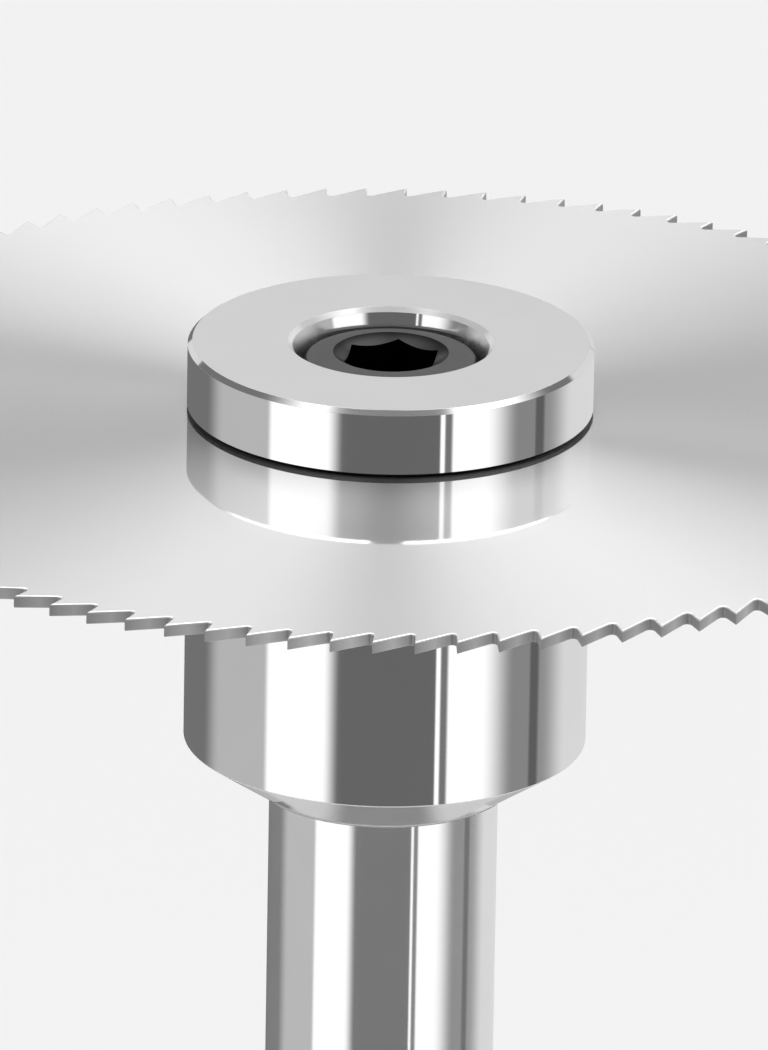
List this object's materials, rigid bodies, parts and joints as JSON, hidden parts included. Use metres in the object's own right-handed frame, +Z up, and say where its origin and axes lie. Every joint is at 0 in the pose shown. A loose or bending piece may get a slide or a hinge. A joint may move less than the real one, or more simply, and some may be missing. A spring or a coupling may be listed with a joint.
{
  "type": "slitting saw",
  "caption": "Thin round slitting saw with fine slotting teeth, clamped by a flush cap and socket screw on a straight-shank arbor.",
  "frame": {"origin": "centre of the shank's flat end, on which the tool stands", "axes": "+Z up the turning axis, from the shank to the blade and the cap; +X close to one tooth tip"},
  "size_m": [0.0724, 0.0724, 0.0641],
  "materials": {
    "blade_steel": "ground in circles, satin",
    "arbor_steel": "turned and polished",
    "cap_steel": "turned and polished",
    "screw_steel": "black oxide"
  },
  "bodies": {
    "root": {"saw_blade": "blade_steel", "arbor": "arbor_steel", "clamp_cap": "cap_steel", "cap_screw": "screw_steel"}
  },
  "joints": []
}
